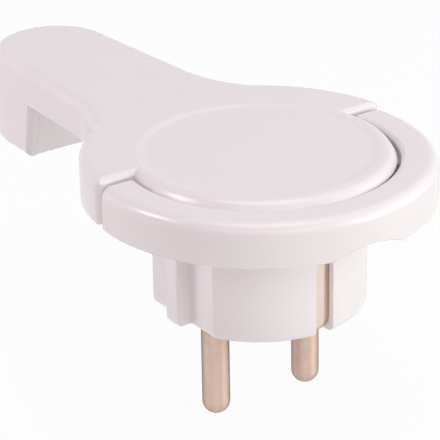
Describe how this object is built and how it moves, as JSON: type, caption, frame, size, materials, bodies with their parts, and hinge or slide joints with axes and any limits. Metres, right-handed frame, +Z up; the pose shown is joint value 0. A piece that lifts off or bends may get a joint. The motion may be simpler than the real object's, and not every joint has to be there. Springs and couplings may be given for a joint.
{
  "type": "flat angled plug",
  "caption": "Low-profile angled mains plug with round pins, side earth contacts, a fold-up half-ring pull handle and a flat arm that leads to a cable inlet",
  "frame": {"origin": "On the plug face, midway between the two pin axes", "axes": "+Z up through the head, the pins point to -Z, the arm runs to +Y and the handle tip is at -Y"},
  "size_m": [0.0588, 0.1061, 0.0466],
  "materials": {
    "white_plastic": "satin moulded",
    "plated_brass": "nickel plated",
    "bare_brass": "bare",
    "screw_steel": "zinc plated"
  },
  "bodies": {
    "plug": {"upper_housing": "white_plastic", "plug_base": "white_plastic", "arm_cover": "white_plastic", "live_pin": "plated_brass", "neutral_pin": "plated_brass", "earth_strip": "plated_brass", "earth_socket": "plated_brass", "earth_terminal": "bare_brass", "live_screw": "screw_steel", "neutral_screw": "screw_steel", "earth_screw": "screw_steel", "cable_clamp": "white_plastic", "clamp_screws": "screw_steel", "base_screws": "screw_steel", "cover_screws": "screw_steel"},
    "handle": {"pull_handle": "white_plastic"}
  },
  "joints": [
    {"name": "handle_hinge", "type": "hinge", "parent": "plug", "child": "handle", "pos_m": [0, -0.0012, 0.024], "axis": [-1, 0, 0], "range_deg": [0, 90]}
  ]
}
